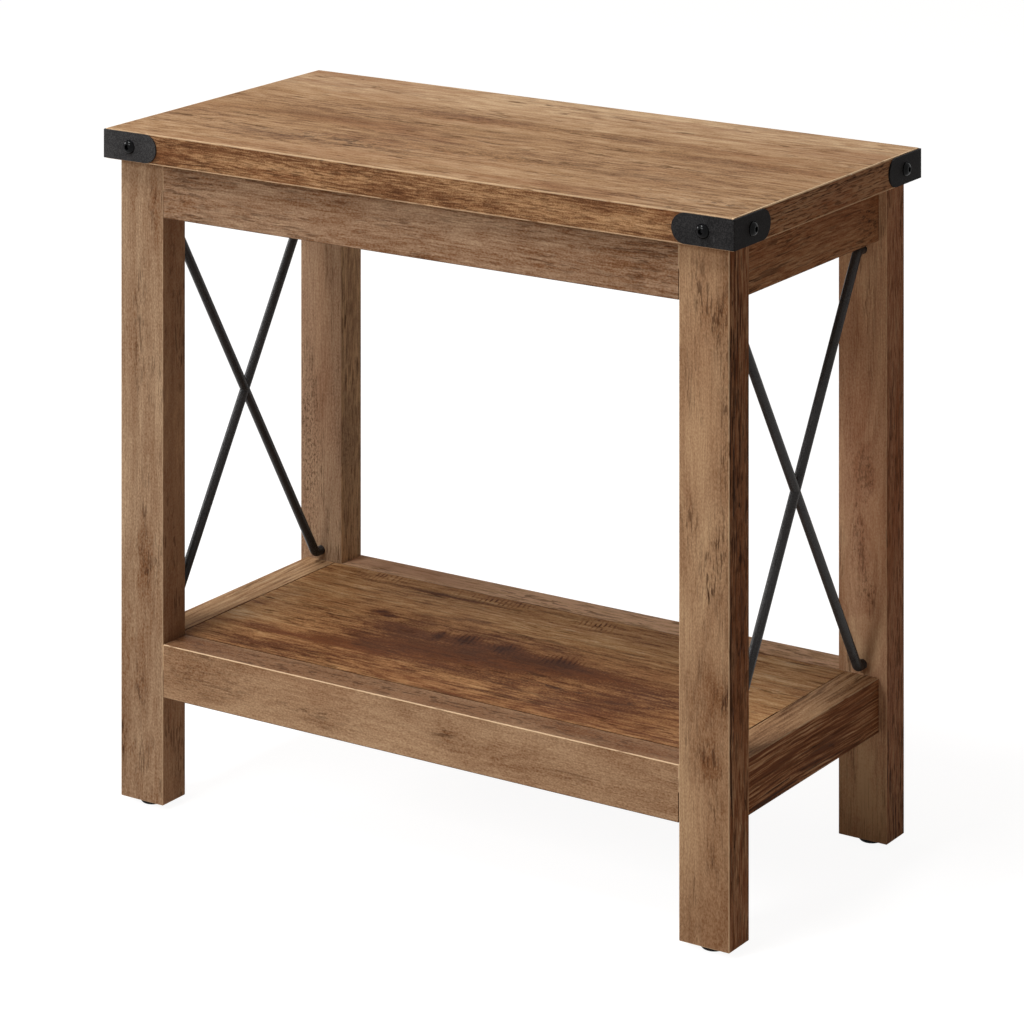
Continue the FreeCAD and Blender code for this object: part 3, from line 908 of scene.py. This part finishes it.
    def boards(self) -> list[Board]:
        """Lists the boards with their marks.

        Returns:
            The boards.
        """
        return [
            Board("top_panel", Grain.LENGTHWISE, 1, self.top, (
                Mark(Face.UPPER, (-190, -16), (120, 20, 10), 0.22),
                Mark(Face.UPPER, (20, 5), (120, 20, 10), 0.08),
                Mark(Face.UPPER, (-70, 50), (90, 8, 10), 0.12, pores=0.3),
                Mark(Face.UPPER, (45, 48), (130, 10, 10), 0.10, pores=0.3),
                Mark(Face.UPPER, (200, 20), (90, 12, 10), 0.18, pores=0.4),
                Mark(Face.UPPER, (-110, -85), (100, 14, 10), 0.05, pores=0.8),
                Mark(Face.UPPER, (50, -66), (90, 14, 10), 0.15, pores=0.6),
                Mark(Face.UPPER, (255, -108), (50, 24, 10), -0.12, pores=0.4),
                # Paler along the rear of the top: partly print, partly a painted sheen where the top is seen
                # at a grazing angle.
                Mark(Face.UPPER, (40, 122), (480, 45, 10), -0.28),
                Mark(Face.UPPER, (180, 122), (70, 20, 10), -0.05, 5.0),
            ), banded_ends=True),
            Board("shelf_panel", Grain.LENGTHWISE, 2, self.shelf, (
                Mark(Face.UPPER, (-144, 26), (8, 4, 10), 0.50, pores=0.9),
                Mark(Face.UPPER, (-134, 20), (9, 3, 10), 0.50, pores=0.9),
                Mark(Face.UPPER, (-200, -64), (60, 6, 10), 0.20),
                Mark(Face.UPPER, (-120, -54), (60, 10, 10), 0.22, pores=0.2),
                Mark(Face.UPPER, (-50, -34), (70, 12, 10), 0.24, pores=0.2),
                Mark(Face.UPPER, (30, -18), (80, 15, 10), 0.20, pores=0.2),
                Mark(Face.UPPER, (110, -8), (80, 16, 10), 0.16),
                Mark(Face.UPPER, (-105, 0), (36, 18, 10), 0.22),
                Mark(Face.UPPER, (10, -15), (150, 50, 10), 0.17, pores=0.3),
                Mark(Face.UPPER, (-68, 1), (5, 11, 10), 0.26, saw=0.3),
                Mark(Face.UPPER, (-44, 5), (11, 12, 10), 0.26, saw=0.4),
                Mark(Face.UPPER, (-5, 7), (12, 11, 10), 0.22, saw=0.4),
                Mark(Face.UPPER, (50, 5), (14, 10, 10), 0.20, saw=0.4),
                Mark(Face.UPPER, (-110, 89), (85, 2, 10), 0.38),
                Mark(Face.UPPER, (-105, 32), (22, 10, 10), 0.14),
                Mark(Face.UPPER, (-185, -94), (55, 18, 10), 0.24),
                Mark(Face.UPPER, (5, -56), (60, 16, 10), 0.17),
                Mark(Face.UPPER, (155, -68), (55, 26, 10), 0.20),
                Mark(Face.UPPER, (-195, 103), (20, 9, 10), saw=0.36),
                Mark(Face.UPPER, (-80, 100), (34, 9, 10), saw=0.40),
                Mark(Face.UPPER, (29, 95), (16, 9, 10), saw=0.48),
                Mark(Face.UPPER, (115, -52), (34, 9, 10), 0.12, pores=0.8),
                Mark(Face.UPPER, (-50, 72), (150, 22, 10), -0.20),
                Mark(Face.UPPER, (-243, -36), (28, 36, 10), -0.27),
                Mark(Face.UPPER, (-235, 25), (20, 25, 10), -0.12),
                Mark(Face.UPPER, (215, 55), (45, 60, 10), -0.19),
            ), joined=(0, -1)),
            Board("leg_front_right", Grain.UPRIGHT, 3, self.right_leg, (
                Mark(Face.FRONT, (-4, 233.5), (8, 8, 20), 0.08, pores=1.3),
                Mark(Face.FRONT, (2, 210.5), (6, 8, 14), 0.14, pores=1.3),
                Mark(Face.FRONT, (11, 206.5), (5, 8, 18), 0.14, pores=1.3),
                Mark(Face.FRONT, (19, 150.5), (5, 8, 130), 0.08, pores=0.9),
                Mark(Face.FRONT, (11, 28.5), (7, 10, 30), 0.04, pores=1.2),
                Mark(Face.FRONT, (2, 15.5), (6, 10, 20), 0.02, pores=0.9),
                Mark(Face.FRONT, (-13, 50.5), (7, 10, 16), 0.02, pores=1.0),
                Mark(Face.FRONT, (10, -161.5), (5, 10, 12), 0.03, pores=1.0),
                Mark(Face.FRONT, (6, -195.5), (5, 10, 14), 0.03, pores=0.9),
                Mark(Face.FRONT, (15, -74.5), (6, 10, 14), 0.14, pores=0.9),
                Mark(Face.FRONT, (5, -126.5), (10, 10, 13), 0.18, 1.5, pores=0.9),
                Mark(Face.FRONT, (-1, -104.5), (18, 10, 45), 0.05, pores=0.4),
                Mark(Face.FRONT, (3, -83.5), (16, 10, 34), 0.05, 2.0),
                Mark(Face.RIGHT, (1, -54.5), (8, 10, 60), 0.15, pores=0.5),
                Mark(Face.RIGHT, (4, 60.5), (8, 12, 90), 0.10, pores=0.7),
                Mark(Face.FRONT, (0, -244.5), (40, 8, 50), 0.12),
                Mark(Face.FRONT, (-4, 160.5), (30, 8, 60), -0.06),
            ), tone=-0.03),
            Board("leg_front_left", Grain.UPRIGHT, 4, self.left_leg, (
                Mark(Face.FRONT, (12, 230.5), (4, 10, 24), 0.08, pores=0.9),
                Mark(Face.FRONT, (5, -64.5), (5, 10, 32), 0.08, pores=1.0),
                Mark(Face.FRONT, (-2, -169.5), (5, 10, 22), 0.08, pores=1.1),
                Mark(Face.FRONT, (-18, -214.5), (4, 10, 26), 0.06, pores=1.1),
                Mark(Face.RIGHT, (-3, 150.5), (8, 3, 180), 0.16),
                Mark(Face.RIGHT, (4, -24.5), (10, 14, 80), -0.16),
            )),
            Board("leg_rear_right", Grain.UPRIGHT, 5, self.knotty_leg, (
                Mark(Face.FRONT, (1, 33.5), (12, 10, 22), 0.14, 1.5, pores=1.2),
                Mark(Face.FRONT, (-3, -22.5), (8, 10, 30), 0.18, 1.5, pores=1.2),
                Mark(Face.FRONT, (5, -64.5), (7, 10, 14), 0.05, pores=1.1),
                Mark(Face.FRONT, (-1, -80.5), (11, 10, 5), 0.14),
                Mark(Face.FRONT, (-3, -54.5), (16, 10, 40), 0.02, 2.0),
                # Painted light: these two paler places lift the foot of the leg and the band under the rod,
                # where the rail and the rod cast shadows.
                Mark(Face.FRONT, (0, -239.5), (40, 20, 70), -0.24),
                Mark(Face.FRONT, (7, -104.5), (20, 8, 30), -0.18),
                Mark(Face.FRONT, (3, 200.5), (20, 8, 40), -0.08),
            ), tone=0.15),
            Board("leg_rear_left", Grain.UPRIGHT, 6, self.far_leg, (
                Mark(Face.FRONT, (-17, 60.5), (12, 10, 300), 0.10),
                Mark(Face.FRONT, (-12, -34.5), (9, 10, 75), 0.04, pores=1.3),
                Mark(Face.RIGHT, (-6, -34.5), (10, 10, 30), 0.15, pores=0.5),
            )),
            # Painted shade: the apron's lower tone stands in for the shade under the top's overhang.
            Board("front_apron", Grain.LENGTHWISE, 7, self.apron, (
                Mark(Face.FRONT, (-225, 0.5), (34, 10, 24), 0.03, pores=0.9),
                Mark(Face.FRONT, (215, -3.5), (45, 10, 24), 0.03, pores=0.6),
            ), tone=-0.07),
            Board("rear_apron", Grain.LENGTHWISE, 8, self.apron),
            Board("front_rail", Grain.LENGTHWISE, 9, self.rail, (
                Mark(Face.FRONT, (-200, 0), (50, 10, 16), 0.06, pores=0.5),
                Mark(Face.FRONT, (-80, -10), (40, 10, 12), 0.05, pores=0.3),
                Mark(Face.FRONT, (35, 2), (12, 10, 6), 0.14, pores=0.8),
                Mark(Face.FRONT, (50, 1), (50, 10, 16), 0.06, 2.0),
                Mark(Face.FRONT, (-20, -4), (80, 10, 16), -0.04),
                Mark(Face.UPPER, (0, 2), (400, 14, 6), 0.15, pores=0.8),
            ), joined=(0, 1)),
            Board("rear_rail", Grain.LENGTHWISE, 10, self.far_rail, joined=(0, -1)),
            Board("left_apron", Grain.SIDEWAYS, 11, self.side_apron),
            Board("right_apron", Grain.SIDEWAYS, 12, self.side_apron, (
                Mark(Face.RIGHT, (96, -6.5), (10, 20, 16), 0.15, 1.4, pores=0.73),
            )),
            Board("left_rail", Grain.SIDEWAYS, 13, self.side_rail, tone=0.14, joined=(1, 0)),
            Board("right_rail", Grain.SIDEWAYS, 14, self.side_rail, joined=(-1, 0)),
        ]

    def dress(self) -> list[str]:
        """Gives every board its print and returns the boards' names."""
        return [board.dress() for board in self.boards()]


@dataclass
class BlackSteel:
    """The corner brackets, their screws and the crossed rods."""

    plate: BlackCoat = BlackCoat("black_plate")
    # Painted light: a paler copy of the plate coat for the front-left bracket, which the light from the left
    # brightens.
    lit_plate: BlackCoat = BlackCoat("plate_painted_lighter", linear(40, 40, 41), linear(64, 64, 65))
    screw: BlackCoat = BlackCoat("black_screw", linear(3, 3, 4), linear(7, 7, 8), roughness=0.1, gloss=0.1,
                                 tooth=2500.0, relief=0.005 * MM)
    rod: BlackCoat = BlackCoat("black_rod", linear(52, 52, 53), linear(66, 66, 67), roughness=0.3,
                               relief=0.01 * MM, gloss=0.12)

    def dress(self) -> list[str]:
        """Coats the steel and returns the pieces' names."""
        plate, rod = self.plate.material(), self.rod.material()
        brackets = [f"corner_bracket_{corner}" for corner in CORNERS]
        rods = [f"{side}_brace_{way}_rod" for side in SIDES for way in ("rising", "falling")]
        for name in brackets:
            put_on(name, plate)
        for name in rods:
            put_on(name, rod)
        # Painted light: the front-left bracket wears the paler copy of the coat.
        put_on("corner_bracket_front_left", self.lit_plate.material())
        put_on("bracket_screws", self.screw.material())
        return [*brackets, *rods, "bracket_screws"]


@dataclass
class Fittings:
    """The levelling feet and the hidden bolts, locks, dowels and inserts."""

    plastic: MouldedPlastic = MouldedPlastic("foot_plastic")
    zinc: PlatedMetal = PlatedMetal("bright_zinc", linear(196, 199, 203), linear(142, 145, 150), 0.28)
    cast: PlatedMetal = PlatedMetal("cast_zinc", linear(150, 151, 153), linear(108, 109, 112), 0.5)
    beech: BeechDowel = BeechDowel()

    def dress(self) -> list[str]:
        """Gives each fitting its finish and returns the pieces' names."""
        levels = ("apron", "rail", "top", "shelf")
        sets = {
            self.plastic: [f"foot_pad_{corner}" for corner in CORNERS],
            self.zinc: [*(f"foot_stud_{corner}" for corner in CORNERS), "leg_inserts",
                        *(f"{level}_cam_bolts" for level in levels)],
            self.cast: [f"{level}_cam_locks" for level in levels],
            self.beech: [f"{level}_dowels" for level in levels],
        }
        for finish, names in sets.items():
            material = finish.material()
            for name in names:
                put_on(name, material)
        return [name for names in sets.values() for name in names]


@dataclass
class Studio:
    """The floor, the light and the camera."""

    floor_half: float = 8.0
    floor_bounce: Colour = linear(232, 224, 216)
    floor_seen: Colour = linear(130, 130, 130)
    floor_glow: float = 0.93
    sky: Colour = (1.0, 0.78, 0.64, 1.0)
    sky_strength: float = 0.16
    aim: Triple = (0.0, 0.0, 0.3)
    key_place: Triple = (-0.9, -1.7, 3.9)
    key_size: float = 1.1
    key_watts: float = 110.0
    fill_place: Triple = (-0.5, -3.0, 2.0)
    fill_size: float = 1.0
    fill_watts: float = 43.0
    side_place: Triple = (-3.0, -0.65, 1.45)
    side_size: float = 2.2
    side_height: float = 0.6
    side_watts: float = 34.0
    azimuth_degrees: float = 33.186
    camera_place: Triple = (1.783627, -2.720608, 1.237419)
    focal_px: float = 3971.859
    horizon_px: float = -690.773
    frame_px: float = 1024.0
    sensor_mm: float = 36.0

    def floor(self) -> None:
        """Makes the floor.

        It is four flat squares that meet under the table, and the camera sees their own glow, near white,
        with the shadow on top of it. Each square goes with the foot that stands on it, so that a foot that is
        wound out still stands on the floor.
        """
        tree = ShaderTree.of_material("floor")
        bounce = tree.node("ShaderNodeBsdfDiffuse", None, {"Color": self.floor_bounce})
        shaded = tree.node("ShaderNodeBsdfDiffuse", None, {"Color": self.floor_seen})
        glow = tree.node("ShaderNodeEmission", None, {"Strength": self.floor_glow})
        seen = tree.node("ShaderNodeAddShader", None, {0: shaded, 1: glow})
        tree.end(tree.node("ShaderNodeMixShader", None, {0: self.in_view(tree), 1: bounce, 2: seen}))
        low, high = (-self.floor_half, 0.0), (0.0, self.floor_half)
        spans = {"left": low, "right": high, "front": low, "rear": high}
        for corner in CORNERS:
            row, column = corner.split("_")
            x, y = np.meshgrid(spans[column], spans[row])
            points = np.column_stack((x.ravel(), y.ravel(), np.zeros(x.size)))
            mesh = bpy.data.meshes.new(f"floor_{corner}")
            mesh.from_pydata(points.tolist(), [], [(0, 1, 3, 2)])
            mesh.materials.append(tree.owner)
            square = bpy.data.objects.new(mesh.name, mesh)
            bpy.context.scene.collection.objects.link(square)
            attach(square, f"foot_{corner}")

    @staticmethod
    def in_view(tree: ShaderTree) -> Shade:
        """1 for what the camera sees, directly, mirrored or through glass, and 0 for light."""
        path = tree.node("ShaderNodeLightPath").socket.node
        seen = [Shade(tree, path.outputs[f"Is {way} Ray"]) for way in ("Camera", "Glossy", "Transmission")]
        return (seen[0] + seen[1] + seen[2]).clamp()

    def world(self) -> None:
        """Makes a white surround for the camera and a dim, warm one for the light."""
        tree = ShaderTree(bpy.data.worlds.new("surround"))
        bpy.context.scene.world = tree.owner
        dim = tree.node("ShaderNodeBackground", None, {"Color": self.sky, "Strength": self.sky_strength})
        white = tree.node("ShaderNodeBackground", None, {"Color": (1.0, 1.0, 1.0, 1.0), "Strength": 1.0})
        mixed = tree.node("ShaderNodeMixShader", None, {0: self.in_view(tree), 1: dim, 2: white})
        tree.end(mixed, "ShaderNodeOutputWorld")

    def lamp(self, name: str, place: Triple, size: float, watts: float, height: float) -> None:
        """Hangs a soft box that faces the table.

        Args:
            name: The lamp's name.
            place: Where it hangs.
            size: Its width.
            watts: Its power.
            height: Its height.
        """
        light = bpy.data.lights.new(name, "AREA")
        light.shape = "RECTANGLE"
        light.size = size
        light.size_y = height
        light.energy = watts
        lamp = bpy.data.objects.new(name, light)
        lamp.location = place
        lamp.rotation_euler = (Vector(self.aim) - Vector(place)).to_track_quat("-Z", "Y").to_euler()
        bpy.context.scene.collection.objects.link(lamp)

    def camera(self) -> None:
        """Sets up the photograph's camera.

        The photograph keeps upright edges upright although it looks down, so its film stands upright. The
        lens points at the middle of the picture, and a rig that leans the camera's own upright axis back to
        the vertical holds it, so the camera itself stays a plain one with no shift.
        """
        turn = math.radians(self.azimuth_degrees)
        level = Vector((-math.sin(turn), math.cos(turn), 0.0))
        right = Vector((math.cos(turn), math.sin(turn), 0.0))
        up = Vector((0.0, 0.0, 1.0))
        drop = (self.frame_px / 2 - self.horizon_px) / self.focal_px
        aim = (level - up * drop).normalized()
        data = bpy.data.cameras.new("photo_camera")
        data.sensor_width = self.sensor_mm
        data.lens = self.focal_px / aim.dot(level) * self.sensor_mm / self.frame_px
        camera = bpy.data.objects.new("photo_camera", data)
        rig = bpy.data.objects.new("camera_rig", None)
        for made in (rig, camera):
            bpy.context.scene.collection.objects.link(made)
        camera.location = self.camera_place
        camera.rotation_euler = aim.to_track_quat("-Z", "Y").to_euler()
        bpy.context.view_layer.update()
        plain = camera.matrix_world.copy()
        upright = Matrix((right, up, -aim)).transposed().to_4x4()
        upright.translation = self.camera_place
        camera.parent = rig
        camera.matrix_parent_inverse = upright @ plain.inverted()
        bpy.context.scene.camera = camera

    def build(self) -> None:
        """Makes the floor, the light and the camera."""
        self.floor()
        self.world()
        self.lamp("key_light", self.key_place, self.key_size, self.key_watts, self.key_size)
        self.lamp("fill_light", self.fill_place, self.fill_size, self.fill_watts, self.fill_size)
        self.lamp("side_light", self.side_place, self.side_size, self.side_watts, self.side_height)
        self.camera()
        bpy.context.scene.view_settings.view_transform = "Standard"


def main() -> None:
    """Builds the classes in order and reports each piece."""
    logging.basicConfig(level=logging.INFO, format="%(message)s")
    for work in (BoardWork(), BlackSteel(), Fittings()):
        for name in work.dress():
            LOG.info("%s dressed %s", type(work).__name__, name)
    Studio().build()


if __name__ == "__main__":
    main()
